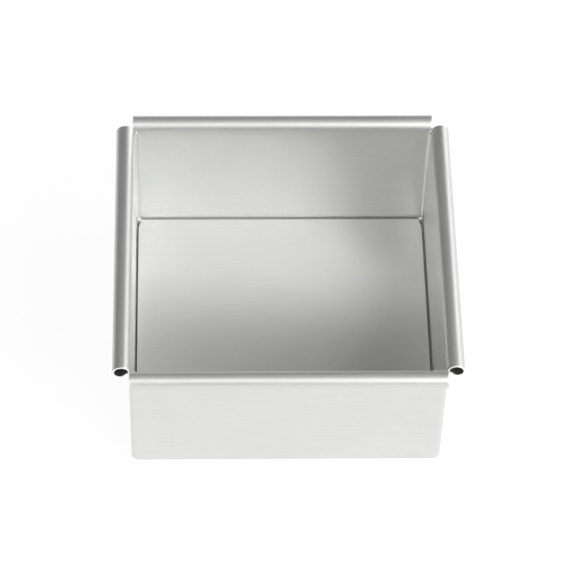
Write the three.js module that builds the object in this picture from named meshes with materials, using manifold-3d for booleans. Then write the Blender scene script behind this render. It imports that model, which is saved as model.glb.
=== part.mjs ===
// A square cake pan with a loose base, in satin anodised aluminium sheet.
// Four panels, each rolled from one strip of sheet, stand on a square: the foot of each is
// bent in to a narrow ledge and its top is rolled outwards into a hollow rim with open ends.
// Four dressed welds close the upright corners, and a flat plate lies loose on the ledge.
// Millimetres, +Z up. The origin is under the middle of the pan, on the surface it stands on.
// The front of the pan faces -Y.

import * as THREE from 'three';
import { mergeVertices } from 'three/addons/utils/BufferGeometryUtils.js';
import Module from 'manifold-3d';

const wasm = await Module();
wasm.setup();

// Driving dimensions
const INSIDE_WIDTH = 152.4; // between the inner faces of opposite walls
const INSIDE_DEPTH = 76.2; // from the top of the base to the top of the rim
const SHEET = 0.9; // thickness of the sheet that the panels are rolled from
const RIM_DIAMETER = 8.8; // of the rolled rim, from the wall's inner face outwards
const TAIL_TURN = 50; // degrees that the rolled-in end is turned up, from the bottom of the roll to the wall
const TAIL_BEND = 0.6; // inside radius of that turn
const CORNER_ROUND = 3.2; // to which the outside of an upright corner is dressed, seen from above
const WELD_FILLET = 1.5; // radius of the weld inside an upright corner, seen from above
const BEND_RADIUS = 1.0; // inside the bend at the foot of a wall
const LEDGE_WIDTH = 8.0; // from the wall's inner face to the ledge's free edge
const BASE_THICKNESS = 1.2;
const BASE_CORNER_RADIUS = 5.0; // of the base plate, seen from above
const BASE_EDGE = 0.3; // how far the base plate's edges are eased
const BEAD_RADIUS = 1.2; // of the ball that a weld ends in, beside the base's corner
const BEAD_SINK = 0.12; // depth that this ball sits in the weld
const BEAD_RISE = 1.1; // from the top of the foot's bend to the middle of this ball

// Clearances
const BASE_GAP = 0.15; // from the edge of the base to the bend that it lies inside
const ROLL_GAP = 0.25; // from the rolled-in end of the rim to the wall
const MITRE_GAP = 0.3; // the seam between two ledges
const RIM_END_GAP = 0.3; // from a side rim's end to the front or back rim
const RIM_SETBACK = 0.5; // from the outer face of a side wall to the end of the front or back rim
const WELD_DROP = 0.4; // from where the rim starts to roll down to the top of a weld

// Fineness of the round forms
const ARC_STEPS = 8; // pairs of chords on each arc of a profile
const CORNER_STEPS = 6; // chords round an upright corner
const CUT_MARGIN = 2; // how far a cutting solid runs past what it cuts

// Places that follow from these
const halfInside = INSIDE_WIDTH / 2;
const halfOutside = halfInside + SHEET;
const rimTop = SHEET + BASE_THICKNESS + INSIDE_DEPTH;
const rimRadius = RIM_DIAMETER / 2;
const rollStart = rimTop - rimRadius; // height where the wall turns into the rim
const bendTop = SHEET + BEND_RADIUS; // height where the foot's bend turns into the wall
const cornerAxis = halfOutside - CORNER_ROUND; // of an upright corner, from the middle of the pan
const wallReach = halfInside - cornerAxis; // from that axis to the inner face of each wall
const baseWidth = INSIDE_WIDTH - 2 * (BEND_RADIUS + BASE_GAP);

const quarterTurn = Math.PI / 2;
const halfTurn = Math.PI;

// A closed geometry as a solid that can be cut. Where two arcs of an outline meet some triangles
// have no area, and those are left out.
function solidOf(geometry) {
  const bare = geometry.clone();
  bare.deleteAttribute('normal');
  bare.deleteAttribute('uv');
  const merged = mergeVertices(bare);
  const triVerts = [];
  for (let i = 0; i < merged.index.count; i += 3) {
    const [a, b, c] = merged.index.array.slice(i, i + 3);
    if (a !== b && b !== c && c !== a) triVerts.push(a, b, c);
  }
  return new wasm.Manifold(new wasm.Mesh({
    numProp: 3,
    vertProperties: new Float32Array(merged.attributes.position.array),
    triVerts: new Uint32Array(triVerts),
  }));
}

// A cut solid as a geometry again, with flat faces
function geometryOf(solid) {
  const mesh = solid.getMesh();
  const geometry = new THREE.BufferGeometry();
  geometry.setAttribute('position', new THREE.BufferAttribute(new Float32Array(mesh.vertProperties), 3));
  geometry.setIndex(new THREE.BufferAttribute(new Uint32Array(mesh.triVerts), 1));
  const faceted = geometry.toNonIndexed();
  faceted.computeVertexNormals();
  return faceted;
}

// The section of a panel: x is outwards from the wall's inner face, y is up.
// The line goes out under the ledge, up the outer face and in round the inside of the roll to its
// straight tail, and comes back round the outside of the roll, down the inner face and over the ledge.
function panelSection() {
  const lowerRadius = (RIM_DIAMETER - SHEET - ROLL_GAP) / 2; // the roll tightens below its middle
  const lowerCentre = RIM_DIAMETER - lowerRadius;
  const tailCentre = rollStart - lowerRadius + SHEET + TAIL_BEND;
  const tailTurn = THREE.MathUtils.degToRad(TAIL_TURN);
  const tailStart = -quarterTurn - tailTurn;

  const along = new THREE.Vector2(-Math.cos(tailTurn), Math.sin(tailTurn));
  const out = new THREE.Vector2(Math.cos(tailStart), Math.sin(tailStart));
  const outerEnd = out.clone().multiplyScalar(TAIL_BEND + SHEET).add(new THREE.Vector2(lowerCentre, tailCentre));
  outerEnd.addScaledVector(along, (outerEnd.x - SHEET - ROLL_GAP) / Math.cos(tailTurn));
  const innerEnd = outerEnd.clone().addScaledVector(out, -SHEET);

  const section = new THREE.Shape();
  section.moveTo(-LEDGE_WIDTH, 0);
  section.lineTo(-BEND_RADIUS, 0);
  section.absarc(-BEND_RADIUS, bendTop, bendTop, -quarterTurn, 0, false);
  section.absarc(rimRadius, rollStart, rimRadius - SHEET, halfTurn, 0, true);
  section.absarc(lowerCentre, rollStart, lowerRadius - SHEET, 0, -quarterTurn, true);
  section.absarc(lowerCentre, tailCentre, TAIL_BEND, -quarterTurn, tailStart, true);
  section.lineTo(innerEnd.x, innerEnd.y);
  section.lineTo(outerEnd.x, outerEnd.y);
  section.absarc(lowerCentre, tailCentre, TAIL_BEND + SHEET, tailStart, -quarterTurn, false);
  section.absarc(lowerCentre, rollStart, lowerRadius, -quarterTurn, 0, false);
  section.absarc(rimRadius, rollStart, rimRadius, 0, halfTurn, false);
  section.absarc(-BEND_RADIUS, bendTop, BEND_RADIUS, 0, -quarterTurn, true);
  section.lineTo(-LEDGE_WIDTH, SHEET);
  section.closePath();
  return section;
}

// What is notched from the right end of a rolled strip, seen from above with the wall's inner
// face on y = 0 and the inside of the pan at +y: the wall stops at the corner's axis, and the
// ledge is cut on the mitre from there, so that the rim alone runs on past the corner.
function endNotch(rimLength) {
  const beyond = Math.max(rimLength / 2, halfOutside) + CUT_MARGIN;
  const outside = -(SHEET + ROLL_GAP / 2);
  const inside = LEDGE_WIDTH + CUT_MARGIN;
  const mitreStart = cornerAxis - MITRE_GAP / Math.SQRT2;

  const notch = new THREE.Shape();
  notch.moveTo(cornerAxis, outside);
  notch.lineTo(beyond, outside);
  notch.lineTo(beyond, inside);
  notch.lineTo(mitreStart - (inside - wallReach), inside);
  notch.lineTo(mitreStart, wallReach);
  notch.lineTo(cornerAxis, wallReach);
  notch.closePath();

  const geometry = new THREE.ExtrudeGeometry(notch, { depth: rollStart + CUT_MARGIN, bevelEnabled: false });
  return geometry.translate(0, 0, -CUT_MARGIN);
}

// One panel, lying along x with its wall's inner face on y = 0 and its rim at -y
function panelGeometry(rimLength) {
  const strip = new THREE.ExtrudeGeometry(panelSection(), {
    depth: rimLength, curveSegments: ARC_STEPS, bevelEnabled: false,
  });
  strip.translate(0, 0, -rimLength / 2);
  const outwards = new THREE.Vector3(0, -1, 0);
  const up = new THREE.Vector3(0, 0, 1);
  strip.applyMatrix4(new THREE.Matrix4().makeBasis(outwards, up, outwards.clone().cross(up)));

  const rightNotch = solidOf(endNotch(rimLength));
  const leftNotch = rightNotch.mirror([1, 0, 0]);
  return geometryOf(solidOf(strip).subtract(rightNotch).subtract(leftNotch));
}

// One upright corner of a box with a rounded foot, with the corner's axis on z and the box's
// middle at -x, -y: its sides lie at a reach from the axis and its floor at z = floor.
function boxCorner(reach, cornerRadius, floor, footRadius) {
  const back = -(reach + CUT_MARGIN);
  const outline = new THREE.Shape();
  outline.moveTo(back, back);
  outline.lineTo(reach, back);
  outline.absarc(reach - cornerRadius, reach - cornerRadius, cornerRadius, 0, quarterTurn, false);
  outline.lineTo(back, reach);
  outline.closePath();
  const geometry = new THREE.ExtrudeGeometry(outline, {
    depth: rimTop,
    curveSegments: CORNER_STEPS,
    bevelThickness: footRadius,
    bevelSize: footRadius,
    bevelOffset: -footRadius,
    bevelSegments: 2 * ARC_STEPS,
  });
  return solidOf(geometry.translate(0, 0, floor + footRadius));
}

// The dressed weld of one upright corner, with the corner's axis on z and the pan's middle at
// -x, -y: what lies between the corner's outside and inside, from the foot to below the rim,
// with the ball of the weld's last bead inside the foot.
function cornerWeldGeometry() {
  const outside = boxCorner(CORNER_ROUND, CORNER_ROUND, 0, bendTop);
  const inside = boxCorner(wallReach, WELD_FILLET, SHEET, BEND_RADIUS);

  const weldTop = rollStart - WELD_DROP;
  const reach = CORNER_ROUND + CUT_MARGIN;
  const quarter = new THREE.BoxGeometry(reach, reach, weldTop + CUT_MARGIN);
  quarter.translate(reach / 2, reach / 2, (weldTop - CUT_MARGIN) / 2);

  const beadPlace = wallReach - WELD_FILLET + (WELD_FILLET + BEAD_SINK - BEAD_RADIUS) / Math.SQRT2;
  const bead = new THREE.SphereGeometry(BEAD_RADIUS, 4 * CORNER_STEPS, 2 * CORNER_STEPS);
  bead.translate(beadPlace, beadPlace, bendTop + BEAD_RISE);
  return geometryOf(outside.subtract(inside).intersect(solidOf(quarter)).add(solidOf(bead)));
}

// The base plate, with its underside on z = 0
function baseGeometry() {
  const half = baseWidth / 2;
  const straight = half - BASE_CORNER_RADIUS;
  const outline = new THREE.Shape();
  outline.moveTo(-straight, -half);
  outline.lineTo(straight, -half);
  outline.absarc(straight, -straight, BASE_CORNER_RADIUS, -quarterTurn, 0, false);
  outline.absarc(straight, straight, BASE_CORNER_RADIUS, 0, quarterTurn, false);
  outline.absarc(-straight, straight, BASE_CORNER_RADIUS, quarterTurn, halfTurn, false);
  outline.absarc(-straight, -straight, BASE_CORNER_RADIUS, halfTurn, halfTurn + quarterTurn, false);
  outline.closePath();
  const plate = new THREE.ExtrudeGeometry(outline, {
    depth: BASE_THICKNESS - 2 * BASE_EDGE,
    curveSegments: ARC_STEPS,
    bevelThickness: BASE_EDGE,
    bevelSize: BASE_EDGE,
    bevelOffset: -BASE_EDGE,
    bevelSegments: 2,
  });
  return plate.translate(0, 0, BASE_EDGE);
}

// Satin anodised aluminium, a shade warmer than neutral
function satinAluminium(color) {
  return new THREE.MeshStandardMaterial({ color, roughness: 0.38, metalness: 1 });
}

function namedMesh(name, geometry, color) {
  const mesh = new THREE.Mesh(geometry, satinAluminium(color));
  mesh.name = name;
  return mesh;
}

const pan = new THREE.Group();

// The front and back rims end just short of the side walls' outer faces, and the side rims stop
// between them
const longRim = 2 * (halfOutside - RIM_SETBACK);
const shortRim = INSIDE_WIDTH - 2 * RIM_END_GAP;
const panels = [
  { name: 'front_panel', turn: 0, rimLength: longRim },
  { name: 'right_panel', turn: quarterTurn, rimLength: shortRim },
  { name: 'back_panel', turn: halfTurn, rimLength: longRim },
  { name: 'left_panel', turn: -quarterTurn, rimLength: shortRim },
];
for (const { name, turn, rimLength } of panels) {
  const side = new THREE.Group();
  side.rotation.z = turn;
  const panel = namedMesh(name, panelGeometry(rimLength), 0xc4c5c1);
  panel.position.y = -halfInside;
  side.add(panel);
  pan.add(side);
}

const corners = [
  { name: 'corner_weld_back_right', turn: 0 },
  { name: 'corner_weld_back_left', turn: quarterTurn },
  { name: 'corner_weld_front_left', turn: halfTurn },
  { name: 'corner_weld_front_right', turn: -quarterTurn },
];
for (const { name, turn } of corners) {
  const corner = new THREE.Group();
  corner.rotation.z = turn;
  const weld = namedMesh(name, cornerWeldGeometry(), 0xcacbc7);
  weld.position.set(cornerAxis, cornerAxis, 0);
  corner.add(weld);
  pan.add(corner);
}

const base = namedMesh('loose_base', baseGeometry(), 0xbcbdb8);
base.position.z = SHEET;
pan.add(base);

export default pan;
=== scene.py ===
# A square cake pan with a loose base, in satin anodised aluminium sheet, on a white studio floor.
# Four rolled panels and four dressed corner welds make the body, and a flat plate lies loose in it.
# Sizes are in millimetres and become metres where a mesh, lamp or camera is made.

import math

import bmesh
import bpy
from mathutils import Matrix, Vector


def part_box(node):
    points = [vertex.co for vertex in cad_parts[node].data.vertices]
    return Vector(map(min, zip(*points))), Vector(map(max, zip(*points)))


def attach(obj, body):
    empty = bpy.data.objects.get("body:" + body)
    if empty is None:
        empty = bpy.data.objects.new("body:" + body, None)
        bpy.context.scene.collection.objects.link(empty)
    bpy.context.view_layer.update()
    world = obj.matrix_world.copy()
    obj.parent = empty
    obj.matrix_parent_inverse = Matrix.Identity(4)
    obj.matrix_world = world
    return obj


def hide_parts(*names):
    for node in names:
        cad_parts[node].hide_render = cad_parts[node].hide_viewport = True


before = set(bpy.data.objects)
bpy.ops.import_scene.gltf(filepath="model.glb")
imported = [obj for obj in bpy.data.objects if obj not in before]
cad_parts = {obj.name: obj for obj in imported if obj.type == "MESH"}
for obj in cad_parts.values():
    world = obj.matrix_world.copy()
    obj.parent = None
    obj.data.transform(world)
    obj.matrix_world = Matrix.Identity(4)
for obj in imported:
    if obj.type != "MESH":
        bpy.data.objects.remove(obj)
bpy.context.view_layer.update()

MM = 0.001


def box_mm(node):
    """Lowest and highest corner of a node of the frame, in millimetres."""
    low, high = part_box(node)
    return low / MM, high / MM


# Sizes of the sheet that the frame doesn't give by itself
SHEET = 0.9
BEND_RADIUS = 1.0  # inside the bend at the foot of a wall
ROLL_GAP = 0.25  # from the rolled-in end of the rim to the wall
TAIL_TURN = 50  # degrees that the rolled-in end is turned up, from the bottom of the roll to the wall
TAIL_BEND = 1.8  # inside radius of that turn, a little wider than in the frame
MITRE_GAP = 0.3  # the seam between two ledges
CORNER_ROUND = 3.2  # to which the outside of an upright corner is dressed, seen from above
WELD_FILLET = 1.5  # radius of the weld inside an upright corner, seen from above
WELD_FOOT = 2.6  # to which the foot of a weld is dressed outside, half way round the corner
WELD_EDGE = 0.12  # how far the top of a weld is eased
EDGE_BREAK = 0.12  # how far a sheared edge of the sheet is rounded
BASE_CORNER_RADIUS = 5.0
BASE_EDGE = 0.2  # how far the base plate's edges are eased
BEAD_RADIUS = 1.2  # of the ball that a weld ends in, beside the base's corner
BEAD_RISE = 1.1  # from the top of the foot's bend to the middle of this ball
TOP_BEAD_RADIUS = 0.9  # of the smaller ball that a weld starts with, below the rim
BEAD_SINK = 0.12  # depth that both balls sit in the weld

# Sizes that follow from the frame
panel_low, panel_high = box_mm("front_panel")
side_low, side_high = box_mm("right_panel")
_, weld_high = box_mm("corner_weld_back_right")
base_low, base_high = box_mm("loose_base")
half_outside = weld_high.x
half_inside = half_outside - SHEET
corner_axis = half_outside - CORNER_ROUND
wall_reach = half_inside - corner_axis  # from a corner's axis to the inner face of each wall
fillet_axis = wall_reach - WELD_FILLET  # from a corner's axis to that of the weld's inside, along x and y
ledge_width = panel_high.y + half_inside
rim_diameter = -half_inside - panel_low.y
rim_radius = rim_diameter / 2
rim_top = panel_high.z
roll_start = rim_top - rim_radius
bend_top = SHEET + BEND_RADIUS
long_rim = panel_high.x - panel_low.x
short_rim = side_high.y - side_low.y

# Fineness of the meshes
BEND_STEPS = 8
ROLL_STEPS = 28  # chords on each half turn of a rim
TAIL_STEPS = 6
WALL_ROWS = 12
PANEL_COLUMNS = 24
TAB_COLUMNS = 3  # where a rim runs on past its wall
CORNER_STEPS = 14
BEAD_STEPS = 32
BREAK_SEGMENTS = 2
SHARP_ANGLE = math.radians(40)
SAME_POINT = 0.0005  # closer than this, two points of a weld are one
FACING = 0.5  # a face looks along an axis if its normal has more than this along it


# Camera: at the front, looking down into the pan
CAMERA_TARGET = (2.40, 12.21, 25.0)
CAMERA_DISTANCE = 1499.4
CAMERA_YAW = 2.835  # degrees that it looks towards the right
CAMERA_PITCH = 52.731  # degrees that it looks down
CAMERA_ROLL = 2.047  # degrees that its top leans to the left
CAMERA_LENS = 182.93  # on Blender's 36 mm sensor


def make_camera():
    data = bpy.data.cameras.new("camera")
    data.lens = CAMERA_LENS
    camera = bpy.data.objects.new("camera", data)
    turn = Matrix.Rotation(math.radians(-CAMERA_YAW), 4, "Z")
    tilt = Matrix.Rotation(math.radians(90 - CAMERA_PITCH), 4, "X")
    lean = Matrix.Rotation(math.radians(CAMERA_ROLL), 4, "Z")
    back_off = Matrix.Translation((0, 0, CAMERA_DISTANCE * MM))
    camera.matrix_world = Matrix.Translation(Vector(CAMERA_TARGET) * MM) @ turn @ tilt @ lean @ back_off
    bpy.context.scene.collection.objects.link(camera)
    bpy.context.scene.camera = camera


# Materials
def colour(code):
    """An sRGB hex colour as linear red, green, blue and alpha."""
    channels = [int(code[i:i + 2], 16) / 255 for i in (1, 3, 5)]
    linear = [c / 12.92 if c <= 0.04045 else ((c + 0.055) / 1.055) ** 2.4 for c in channels]
    return (*linear, 1.0)


def add_node(tree, kind, inputs=None, **settings):
    """A new node. Each input is a value, or the socket that feeds it."""
    node = tree.nodes.new(kind)
    for name, value in settings.items():
        setattr(node, name, value)
    for name, value in (inputs or {}).items():
        if isinstance(value, bpy.types.NodeSocket):
            tree.links.new(value, node.inputs[name])
        else:
            node.inputs[name].default_value = value
    return node


def new_material(name):
    material = bpy.data.materials.new(name)
    material.use_nodes = True
    material.node_tree.nodes.clear()
    return material, material.node_tree


# Aluminium sheet that was blasted and then anodised: a pale grey metal that blurs what it mirrors,
# with faint streaks along the way it was rolled. The tools that rolled the rim have drawn a fine grain
# along it, which spreads its highlights across the rim. A dark line of painted shade lies in the
# grooves on the left and right of the base, and a fainter painted shade at the foot of the welds and
# inside the rolled rims.
SHEET_TONES = ("#e2e2e0", "#dedfdd", "#eaeae9")  # the metal, its streaks and its scuffs
SATIN_ROUGHNESS = 0.43
STREAK_LENGTH = 45.0
STREAK_WIDTH = 0.9  # finer on the real sheet, and drawn wide enough to show
STREAK_GLOSS = -0.04  # what a streak adds to the roughness
CLOUD_SIZE = 26.0  # slow drift of the anodising's tone
DRIFT_LOW = 0.7  # range of streaks and clouds added together
DRIFT_HIGH = 1.3
GRIT_SIZE = 0.45  # pits of the blasting, finer on the real sheet
GRIT_DEPTH = 0.004
SCUFF_LENGTH = 9.0
SCUFF_WIDTH = 0.35
SCUFF_TURN = 38  # degrees from the way the sheet was rolled
SCUFF_START = 0.66  # level of the noise at which a scuff begins
SCUFF_FULL = 0.74  # and at which it is at its strongest
SCUFF_STRENGTH = 0.5
SCUFF_GLOSS = -0.1  # what a scuff adds to the roughness
ROLLED = "rolled"  # attribute on the panels: 0 on the flat sheet, 1 on the rolled rim
ROLLED_ROUGHNESS = 0.48
ROLLED_DULLING = 0.96
ROLLED_GRAIN = 0.45  # 0 spreads a highlight evenly, 1 only across the rim
ROLL_FADE = 6.0  # height below the rim over which the sheet turns from flat to rolled
PAINTED_SHADE_ATTRIBUTE = "painted_shade"  # attribute on panels and welds: how far painted shade darkens the metal
# Dark grey of the painted shade in the grooves, at the weld feet and inside the rims
PAINTED_SHADE_GREY = "#2c2a28"
LEFT_GROOVE_SHADE = 1.0  # in the groove on the left of the base
RIGHT_GROOVE_SHADE = 0.75
WELD_FOOT_SHADE = 0.4  # at the foot of the welds
BORE_SHADE = 0.35
GROOVE_TOP = 1.3  # height to which painted shade fills the groove beside the base

# The same metal on the welds inside the corners. Those on the left are rough as they were welded, and
# scatter the light evenly. Those on the right were brushed smooth, and their tone is lightened as a
# painted highlight, so they stand out as a bright line.
MATT_TONES = ("#e2e2e0", "#dcdddb", "#eaeae9")
MATT_ROUGHNESS = 0.78
BRUSHED_TONES_PAINTED_HIGHLIGHT = ("#eaeae8", "#e4e5e3", "#f0f0ef")
BRUSHED_ROUGHNESS = 0.45


def satin_anodised(name, roughness, tones):
    """Satin anodised aluminium, rolled along the piece's own x."""
    tone, streak_tone, scuff_tone = tones
    material, tree = new_material(name)
    place = add_node(tree, "ShaderNodeTexCoord").outputs["Object"]

    along = add_node(tree, "ShaderNodeMapping", {
        "Vector": place,
        "Scale": (1 / (STREAK_LENGTH * MM), 1 / (STREAK_WIDTH * MM), 1 / (STREAK_WIDTH * MM)),
    })
    streaks = add_node(tree, "ShaderNodeTexNoise", {
        "Vector": along.outputs["Vector"], "Scale": 1.0, "Detail": 3.0, "Roughness": 0.6})
    clouds = add_node(tree, "ShaderNodeTexNoise", {
        "Vector": place, "Scale": 1 / (CLOUD_SIZE * MM), "Detail": 2.0, "Roughness": 0.5})
    grit = add_node(tree, "ShaderNodeTexNoise", {
        "Vector": place, "Scale": 1 / (GRIT_SIZE * MM), "Detail": 2.0, "Roughness": 0.55})
    across = add_node(tree, "ShaderNodeMapping", {
        "Vector": place,
        "Rotation": (0.0, 0.0, math.radians(SCUFF_TURN)),
        "Scale": (1 / (SCUFF_LENGTH * MM), 1 / (SCUFF_WIDTH * MM), 1 / (SCUFF_WIDTH * MM)),
    })
    scuff_marks = add_node(tree, "ShaderNodeTexNoise", {
        "Vector": across.outputs["Vector"], "Scale": 1.0, "Detail": 1.0, "Roughness": 0.4})
    scuffs = add_node(tree, "ShaderNodeMapRange", {
        "Value": scuff_marks.outputs["Fac"],
        "From Min": SCUFF_START, "From Max": SCUFF_FULL, "To Min": 0.0, "To Max": SCUFF_STRENGTH})

    drift = add_node(tree, "ShaderNodeMath", {0: streaks.outputs["Fac"], 1: clouds.outputs["Fac"]},
                     operation="ADD")
    drift = add_node(tree, "ShaderNodeMapRange", {
        "Value": drift.outputs["Value"], "From Min": DRIFT_LOW, "From Max": DRIFT_HIGH})
    metal = add_node(tree, "ShaderNodeMixRGB", {
        "Fac": drift.outputs["Result"], "Color1": colour(streak_tone), "Color2": colour(tone)})
    metal = add_node(tree, "ShaderNodeMixRGB", {
        "Fac": scuffs.outputs["Result"], "Color1": metal.outputs["Color"], "Color2": colour(scuff_tone)})

    rolled = add_node(tree, "ShaderNodeAttribute", attribute_name=ROLLED)
    dulling = add_node(tree, "ShaderNodeMapRange", {
        "Value": rolled.outputs["Fac"], "To Min": 1.0, "To Max": ROLLED_DULLING})
    metal = add_node(tree, "ShaderNodeMixRGB", {
        "Fac": 1.0, "Color1": metal.outputs["Color"], "Color2": dulling.outputs["Result"]},
        blend_type="MULTIPLY")
    # Painted shade: the metal is mixed towards a dark grey where the mesh marks the grooves beside the
    # base, the foot of the welds and the inside of the rims.
    painted_shade = add_node(tree, "ShaderNodeAttribute", attribute_name=PAINTED_SHADE_ATTRIBUTE)
    metal = add_node(tree, "ShaderNodeMixRGB", {
        "Fac": painted_shade.outputs["Fac"], "Color1": metal.outputs["Color"], "Color2": colour(PAINTED_SHADE_GREY)})

    gloss = add_node(tree, "ShaderNodeMapRange", {
        "Value": rolled.outputs["Fac"], "To Min": roughness, "To Max": ROLLED_ROUGHNESS})
    gloss = add_node(tree, "ShaderNodeMath", {
        0: drift.outputs["Result"], 1: STREAK_GLOSS, 2: gloss.outputs["Result"]}, operation="MULTIPLY_ADD")
    gloss = add_node(tree, "ShaderNodeMath", {
        0: scuffs.outputs["Result"], 1: SCUFF_GLOSS, 2: gloss.outputs["Value"]}, operation="MULTIPLY_ADD")
    grain = add_node(tree, "ShaderNodeMath", {0: rolled.outputs["Fac"], 1: ROLLED_GRAIN},
                     operation="MULTIPLY")
    round_rim = add_node(tree, "ShaderNodeTangent", direction_type="RADIAL", axis="X")
    pits = add_node(tree, "ShaderNodeBump", {
        "Strength": 1.0, "Distance": GRIT_DEPTH * MM, "Height": grit.outputs["Fac"]})
    surface = add_node(tree, "ShaderNodeBsdfPrincipled", {
        "Base Color": metal.outputs["Color"],
        "Metallic": 1.0,
        "Roughness": gloss.outputs["Value"],
        "Anisotropic": grain.outputs["Value"],
        "Tangent": round_rim.outputs["Tangent"],
        "Normal": pits.outputs["Normal"],
    })
    add_node(tree, "ShaderNodeOutputMaterial", {"Surface": surface.outputs["BSDF"]})
    return material


# The bare aluminium of a sheared edge: brighter than the anodised faces, torn into fine lines
# across the sheet.
SHEAR_TONES = ("#eeeeec", "#fefefd")  # darkest and brightest
SHEAR_ROUGHNESS = (0.42, 0.62)  # least and most
SHEAR_SPACING = 0.22
SHEAR_DEPTH = 0.02
SHEAR_RELIEF = 0.4  # strength of the torn lines


def sheared_edge():
    dark, bright = SHEAR_TONES
    least, most = SHEAR_ROUGHNESS
    material, tree = new_material("sheared_aluminium_edge")
    place = add_node(tree, "ShaderNodeTexCoord").outputs["Object"]
    tears = add_node(tree, "ShaderNodeTexNoise", {
        "Vector": place, "Scale": 1 / (SHEAR_SPACING * MM), "Detail": 2.0, "Roughness": 0.6})
    metal = add_node(tree, "ShaderNodeMixRGB", {
        "Fac": tears.outputs["Fac"], "Color1": colour(dark), "Color2": colour(bright)})
    gloss = add_node(tree, "ShaderNodeMapRange", {
        "Value": tears.outputs["Fac"], "To Min": least, "To Max": most})
    ridges = add_node(tree, "ShaderNodeBump", {
        "Strength": SHEAR_RELIEF, "Distance": SHEAR_DEPTH * MM, "Height": tears.outputs["Fac"]})
    surface = add_node(tree, "ShaderNodeBsdfPrincipled", {
        "Base Color": metal.outputs["Color"],
        "Metallic": 1.0,
        "Roughness": gloss.outputs["Result"],
        "Normal": ridges.outputs["Normal"],
    })
    add_node(tree, "ShaderNodeOutputMaterial", {"Surface": surface.outputs["BSDF"]})
    return material


# Meshes
def arc(centre, radius, start, end, steps):
    """Points on an arc from one angle to another, in degrees, with both ends."""
    angles = [math.radians(start + (end - start) * i / steps) for i in range(steps + 1)]
    return [(centre[0] + radius * math.cos(a), centre[1] + radius * math.sin(a)) for a in angles]


def panel_rows(rim_length):
    """The middle of a panel's sheet, from the ledge's free edge to the rolled-in end of the rim:
    (outwards from the wall's inner face, up, half the sheet's length there)."""
    middle = SHEET / 2
    lower_radius = (rim_diameter - SHEET - ROLL_GAP) / 2
    lower_centre = rim_diameter - lower_radius
    tail_centre = roll_start - lower_radius + SHEET + TAIL_BEND
    turn = math.radians(TAIL_TURN)
    across_tail = Vector((math.sin(turn), math.cos(turn)))
    tail_start = Vector((lower_centre, tail_centre)) - across_tail * (TAIL_BEND + SHEET)
    tail_run = tail_start.x - SHEET - ROLL_GAP
    tail_end = tail_start + Vector((-tail_run, tail_run * math.tan(turn))) + across_tail * middle
    mitre_end = corner_axis - MITRE_GAP / math.sqrt(2) - (ledge_width - wall_reach)
    wall_heights = [bend_top + (roll_start - bend_top) * i / WALL_ROWS for i in range(1, WALL_ROWS + 1)]

    ledge = [(-ledge_width, middle, mitre_end), (-wall_reach, middle, corner_axis)]
    foot = arc((-BEND_RADIUS, bend_top), bend_top - middle, -90, 0, BEND_STEPS)
    wall = [(middle, height) for height in wall_heights]
    roll = arc((rim_radius, roll_start), rim_radius - middle, 180, 0, ROLL_STEPS)[1:]
    roll += arc((lower_centre, roll_start), lower_radius - middle, 0, -90, ROLL_STEPS // 2)[1:]
    roll += arc((lower_centre, tail_centre), TAIL_BEND + middle, -90, -90 - TAIL_TURN, TAIL_STEPS)[1:]
    roll.append(tail_end)

    below = ledge + [(*point, corner_axis) for point in foot + wall]
    return below, [(*point, rim_length / 2) for point in roll]


def thicken(bm, faces, thickness):
    """Gives a sheet of faces its thickness, half on each side, with closed edges."""
    bm.normal_update()
    for vert in bm.verts:
        vert.co += vert.normal * vert.calc_shell_factor() * thickness / 2
    bmesh.ops.solidify(bm, geom=faces, thickness=thickness)
    bmesh.ops.recalc_face_normals(bm, faces=bm.faces)


def break_edges(bm, width, keep_sharp=lambda edge: False):
    """Rounds the sheared edges, apart from those that lie face to face with a weld."""
    sharp = [e for e in bm.edges if e.is_manifold and e.calc_face_angle() > SHARP_ANGLE]
    for edge in sharp:
        edge.smooth = not keep_sharp(edge)
    bmesh.ops.bevel(bm, geom=[e for e in sharp if e.smooth], offset=width,
                    segments=BREAK_SEGMENTS, profile=0.5, affect="EDGES", clamp_overlap=True)


def merge_points(bm, distance):
    """Makes points that lie on each other one, and drops the faces that this closes."""
    bmesh.ops.remove_doubles(bm, verts=bm.verts, dist=distance)
    bmesh.ops.dissolve_degenerate(bm, dist=distance, edges=bm.edges)


def mesh_from(bm, name):
    for face in bm.faces:
        face.smooth = True
    bmesh.ops.scale(bm, vec=(MM, MM, MM), verts=bm.verts)
    mesh = bpy.data.meshes.new(name)
    bm.to_mesh(mesh)
    bm.free()
    return mesh


def joined(first, second):
    """Two closed meshes made into one skin."""
    work = bpy.data.objects.new(first.name, first)
    tool = bpy.data.objects.new(second.name, second)
    for each in (work, tool):
        bpy.context.scene.collection.objects.link(each)
    join = work.modifiers.new("join", "BOOLEAN")
    join.operation = "UNION"
    join.object = tool
    evaluated = work.evaluated_get(bpy.context.evaluated_depsgraph_get())
    mesh = bpy.data.meshes.new_from_object(evaluated)
    for each in (work, tool):
        bpy.data.objects.remove(each)
    return mesh


def groove_depth(height):
    """How far down the groove beside the base a height is, from 0 to 1 at its bottom."""
    return min(1.0, max(0.0, (GROOVE_TOP - height) / (GROOVE_TOP - SHEET)))


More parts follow.
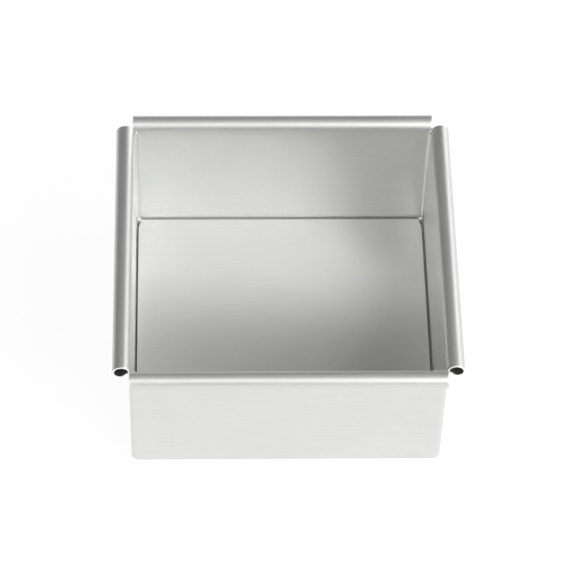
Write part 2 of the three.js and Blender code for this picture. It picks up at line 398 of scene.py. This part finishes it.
def panel_mesh(name, rim_length, groove_shade):
    """A panel lying along x, with its wall's inner face on y = 0 and its rim at -y."""
    below, roll = panel_rows(rim_length)
    bm = bmesh.new()

    def row_of(out, up, half_lengths):
        return [bm.verts.new((x, -out, up)) for x in half_lengths]

    def main_columns(half):
        return [half * (2 * i / PANEL_COLUMNS - 1) for i in range(PANEL_COLUMNS + 1)]

    tab = rim_length / 2 - corner_axis
    tab_columns = [corner_axis + tab * i / TAB_COLUMNS for i in range(1, TAB_COLUMNS + 1)]
    rim_columns = [-x for x in reversed(tab_columns)] + main_columns(corner_axis) + tab_columns

    rows = [row_of(out, up, main_columns(half)) for out, up, half in below]
    rim_rows = [row_of(out, up, rim_columns) for out, up, _ in roll]
    wall_top_out, wall_top_up, _ = below[-1]
    left_tab = row_of(wall_top_out, wall_top_up, rim_columns[:TAB_COLUMNS])
    right_tab = row_of(wall_top_out, wall_top_up, rim_columns[-TAB_COLUMNS:])
    rim_rows.insert(0, left_tab + rows[-1] + right_tab)

    for strip in (rows, rim_rows):
        for first, second in zip(strip, strip[1:]):
            for i in range(len(first) - 1):
                bm.faces.new((first[i], first[i + 1], second[i + 1], second[i]))
    thicken(bm, bm.faces[:], SHEET)

    def on_weld(edge):
        ends = [v.co for v in edge.verts]
        at_end = all(abs(abs(p.x) - corner_axis) < EDGE_BREAK for p in ends)
        return at_end and max(p.z for p in ends) < roll_start + EDGE_BREAK

    break_edges(bm, EDGE_BREAK, on_weld)
    rolled = bm.verts.layers.float.new(ROLLED)
    painted_shade = bm.verts.layers.float.new(PAINTED_SHADE_ATTRIBUTE)
    for vert in bm.verts:
        y, z = vert.co.y, vert.co.z
        rise = (z - roll_start + ROLL_FADE) / ROLL_FADE
        vert[rolled] = 1.0 if -y > SHEET + EDGE_BREAK else min(1.0, max(0.0, rise))
        # Painted shade inside the rolled rim's bore, and down the groove beside the base.
        if math.hypot(y + rim_radius, z - roll_start) < rim_radius - SHEET / 2:
            vert[painted_shade] = BORE_SHADE
        elif z > SHEET / 2 and math.hypot(y - BEND_RADIUS, z - bend_top) < BEND_RADIUS + SHEET / 2:
            vert[painted_shade] = groove_shade * groove_depth(z)
    for face in bm.faces:
        middle = face.calc_center_median()
        if abs(face.normal.x) > FACING and abs(middle.x) > corner_axis + EDGE_BREAK:
            face.material_index = 1
    return mesh_from(bm, name)


def weld_run(name):
    """A dressed corner weld with the corner's axis on z and the pan's middle at -x, -y. Upright
    columns of points, outside and inside, run from one wall round to the other."""
    top = weld_high.z - WELD_EDGE
    outside_top = arc((-WELD_EDGE, top), WELD_EDGE, 0, 90, BREAK_SEGMENTS)
    inside = arc((WELD_EDGE, top), WELD_EDGE, 90, 180, BREAK_SEGMENTS)
    inside += arc((-BEND_RADIUS, bend_top), BEND_RADIUS, 0, -90, BEND_STEPS)
    bm = bmesh.new()

    def column(profile, axis, radius, degrees):
        turn = math.radians(degrees)
        direction = Vector((math.cos(turn), math.sin(turn)))
        points = [Vector(axis) + direction * (radius + out) for out, _ in profile]
        return [bm.verts.new((*point, up)) for point, (_, up) in zip(points, profile)]

    inside_columns = [column(inside, (0, 0), wall_reach, 0)]
    for i in range(CORNER_STEPS - 1):
        degrees = 90 * i / (CORNER_STEPS - 2)
        inside_columns.append(column(inside, (fillet_axis, fillet_axis), WELD_FILLET, degrees))
    inside_columns.append(column(inside, (0, 0), wall_reach, 90))
    loops = []
    for i, inside_column in enumerate(inside_columns):
        degrees = 90 * i / CORNER_STEPS
        foot = bend_top + (WELD_FOOT - bend_top) * math.sin(math.radians(2 * degrees))
        outside = arc((-foot, foot), foot, -90, 0, BEND_STEPS) + outside_top
        outside_column = column(outside, (0, 0), CORNER_ROUND, degrees)
        underside = bm.verts.new((0, 0, 0))
        ledge_top = bm.verts.new((0, 0, SHEET))
        loops.append([underside, *outside_column, *inside_column, ledge_top])
    for first, second in zip(loops, loops[1:]):
        for i in range(len(first) - 1):
            bm.faces.new((first[i], first[i + 1], second[i + 1], second[i]))
    bm.faces.new(loops[0])
    bm.faces.new(loops[-1])
    merge_points(bm, SAME_POINT)
    bmesh.ops.recalc_face_normals(bm, faces=bm.faces)
    return mesh_from(bm, name)


def weld_mesh(name):
    """A corner weld with a ball at each end. Its second material is for what faces into the pan."""
    welded = weld_run(name)
    for radius, height in ((BEAD_RADIUS, bend_top + BEAD_RISE), (TOP_BEAD_RADIUS, weld_high.z)):
        bead = bmesh.new()
        place = fillet_axis + (WELD_FILLET + BEAD_SINK - radius) / math.sqrt(2)
        bmesh.ops.create_uvsphere(bead, u_segments=BEAD_STEPS, v_segments=BEAD_STEPS // 2, radius=radius,
                                  matrix=Matrix.Translation((place, place, height)))
        welded = joined(welded, mesh_from(bead, "bead"))
    bm = bmesh.new()
    bm.from_mesh(welded)
    merge_points(bm, SAME_POINT * MM)
    bm.normal_update()
    for edge in bm.edges:
        edge.smooth = not edge.is_manifold or edge.calc_face_angle() < SHARP_ANGLE
    for face in bm.faces:
        dressed = face.normal.x + face.normal.y > 0 and face.normal.z < FACING
        face.material_index = 0 if dressed else 1
    # Painted shade at the foot of the weld, deepest at the bottom of the groove.
    painted_shade = bm.verts.layers.float.new(PAINTED_SHADE_ATTRIBUTE)
    for vert in bm.verts:
        x, y, z = vert.co / MM
        if z > SHEET - EDGE_BREAK and math.hypot(x, y) < CORNER_ROUND - SHEET / 2:
            vert[painted_shade] = WELD_FOOT_SHADE * groove_depth(z)
    bm.to_mesh(welded)
    bm.free()
    return welded


def base_mesh(name):
    """The base plate where it lies, a rounded square with eased edges."""
    straight = base_high.x - BASE_CORNER_RADIUS
    bm = bmesh.new()
    outline = []
    for i, (x, y) in enumerate(((1, 1), (-1, 1), (-1, -1), (1, -1))):
        outline += arc((straight * x, straight * y), BASE_CORNER_RADIUS, 90 * i, 90 * i + 90, CORNER_STEPS)
    middle = (base_low.z + base_high.z) / 2
    bm.faces.new([bm.verts.new((x, y, middle)) for x, y in outline])
    thicken(bm, bm.faces[:], base_high.z - base_low.z)
    break_edges(bm, BASE_EDGE)
    return mesh_from(bm, name)


def add_piece(name, mesh, materials, body, node, place=Matrix.Identity(4)):
    for material in materials:
        mesh.materials.append(material)
    piece = bpy.data.objects.new(name, mesh)
    piece.matrix_world = place
    bpy.context.scene.collection.objects.link(piece)
    even = piece.modifiers.new("even_normals", "WEIGHTED_NORMAL")
    even.keep_sharp = True
    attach(piece, body)
    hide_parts(node)


def make_pan():
    sheet = satin_anodised("satin_anodised_sheet", SATIN_ROUGHNESS, SHEET_TONES)
    matt = satin_anodised("matt_anodised_weld", MATT_ROUGHNESS, MATT_TONES)
    # The right-hand welds' lighter tone is a painted highlight.
    brushed = satin_anodised("brushed_weld_painted_highlight", BRUSHED_ROUGHNESS, BRUSHED_TONES_PAINTED_HIGHLIGHT)
    plate = satin_anodised("satin_anodised_plate", SATIN_ROUGHNESS, SHEET_TONES)
    edge = sheared_edge()

    # Node, turn from the front, length of the rim, and painted shade in the groove
    sides = (("front_panel", 0, long_rim, 0.0), ("right_panel", 90, short_rim, RIGHT_GROOVE_SHADE),
             ("back_panel", 180, long_rim, 0.0), ("left_panel", 270, short_rim, LEFT_GROOVE_SHADE))
    for node, turn, rim_length, groove_shade in sides:
        place = Matrix.Rotation(math.radians(turn), 4, "Z") @ Matrix.Translation((0, -half_inside * MM, 0))
        add_piece("rolled_" + node, panel_mesh(node, rim_length, groove_shade), [sheet, edge],
                  "pan_body", node, place)

    # Node, turn from the back right, and finish inside
    corners = (("corner_weld_back_right", 0, brushed), ("corner_weld_back_left", 90, matt),
               ("corner_weld_front_left", 180, matt), ("corner_weld_front_right", 270, brushed))
    at_corner = Matrix.Translation((corner_axis * MM, corner_axis * MM, 0))
    for node, turn, weld in corners:
        place = Matrix.Rotation(math.radians(turn), 4, "Z") @ at_corner
        add_piece("dressed_" + node, weld_mesh(node), [sheet, weld],
                  "pan_body", node, place)

    add_piece("flat_base", base_mesh("flat_base"), [plate], "loose_base", "loose_base")


# Studio
FLOOR_SIZE = 20000.0
FLOOR_DROP = 0.05  # keeps the floor's face off the underside of the ledges
FLOOR_PAINT = "#525252"  # takes the lamps' light and the pan's shadow
FLOOR_LIFT = 0.93  # what the floor glows by itself, so that it looks white
ROOM_GREY = "#1c1c1c"
LAMP_DISTANCE = 1500.0


def make_floor():
    material, tree = new_material("white_studio_floor")
    path = add_node(tree, "ShaderNodeLightPath")
    seen = add_node(tree, "ShaderNodeMath", {
        0: path.outputs["Is Camera Ray"], 1: path.outputs["Is Glossy Ray"]}, operation="MAXIMUM")
    seen = add_node(tree, "ShaderNodeMath", {
        0: seen.outputs["Value"], 1: path.outputs["Is Transmission Ray"]}, operation="MAXIMUM")
    lift = add_node(tree, "ShaderNodeMath", {0: seen.outputs["Value"], 1: FLOOR_LIFT},
                    operation="MULTIPLY")
    paint = add_node(tree, "ShaderNodeBsdfDiffuse", {"Color": colour(FLOOR_PAINT)})
    glow = add_node(tree, "ShaderNodeEmission", {
        "Color": colour("#ffffff"), "Strength": lift.outputs["Value"]})
    both = add_node(tree, "ShaderNodeAddShader", {0: paint.outputs["BSDF"], 1: glow.outputs["Emission"]})
    add_node(tree, "ShaderNodeOutputMaterial", {"Surface": both.outputs["Shader"]})

    bm = bmesh.new()
    bmesh.ops.create_grid(bm, x_segments=2, y_segments=2, size=FLOOR_SIZE / 2)
    mesh = mesh_from(bm, "studio_floor")
    mesh.materials.append(material)
    floor = bpy.data.objects.new("studio_floor", mesh)
    floor.location.z = -FLOOR_DROP * MM
    bpy.context.scene.collection.objects.link(floor)


def add_softbox(name, azimuth, elevation, width, height, radiance):
    """A lamp that faces the pan. Its azimuth runs from the back (+Y) towards the right (+X)."""
    data = bpy.data.lights.new(name, "AREA")
    data.shape = "RECTANGLE"
    data.size = width * MM
    data.size_y = height * MM
    data.energy = radiance * math.pi * data.size * data.size_y
    lamp = bpy.data.objects.new(name, data)
    a, e = math.radians(azimuth), math.radians(elevation)
    towards = Vector((math.sin(a) * math.cos(e), math.cos(a) * math.cos(e), math.sin(e)))
    lamp.location = towards * LAMP_DISTANCE * MM
    lamp.rotation_euler = towards.to_track_quat("Z", "Y").to_euler()
    lamp.visible_camera = False
    bpy.context.scene.collection.objects.link(lamp)


def make_world():
    """A dim grey room round the lamps."""
    world = bpy.data.worlds.new("studio_room")
    bpy.context.scene.world = world
    world.use_nodes = True
    tree = world.node_tree
    tree.nodes.clear()
    room = add_node(tree, "ShaderNodeBackground", {"Color": colour(ROOM_GREY), "Strength": 1.0})
    add_node(tree, "ShaderNodeOutputWorld", {"Surface": room.outputs["Background"]})


# Name, azimuth and elevation in degrees, width and height in millimetres, and radiance. The key lamp
# is small, so the right wall keeps it from the right-hand third of the inside.
SOFTBOXES = (
    ("key_softbox", 139, 39, 300, 300, 17.9),
    ("key_spill_softbox", 150, 36, 500, 500, 10.3),
    ("camera_softbox", 187, 52, 450, 450, 1.4),
    ("camera_high_softbox", 187, 66, 500, 400, 2.0),
    ("left_high_softbox", 220, 44, 800, 800, 2.75),
    ("front_low_softbox", 205, 14, 600, 400, 4.2),
    ("left_back_softbox", 310, 30, 800, 600, 0.35),
    ("right_front_softbox", 112, 30, 700, 600, 8.0),
    ("right_high_softbox", 82, 48, 900, 800, 3.6),
    ("right_low_softbox", 36, 11, 800, 400, 2.2),
    ("right_back_softbox", 60, 26, 700, 600, 1.4),
    ("right_back_high_softbox", 42, 34, 600, 500, 1.0),
    ("back_low_softbox", 345, 11, 1200, 450, 1.1),
    ("overhead_softbox", 335, 67, 900, 900, 0.53),
)


def make_studio():
    make_floor()
    make_world()
    for name, azimuth, elevation, width, height, radiance in SOFTBOXES:
        add_softbox(name, azimuth, elevation, width, height, radiance)


make_camera()
make_pan()
make_studio()
bpy.context.scene.view_settings.view_transform = "Standard"
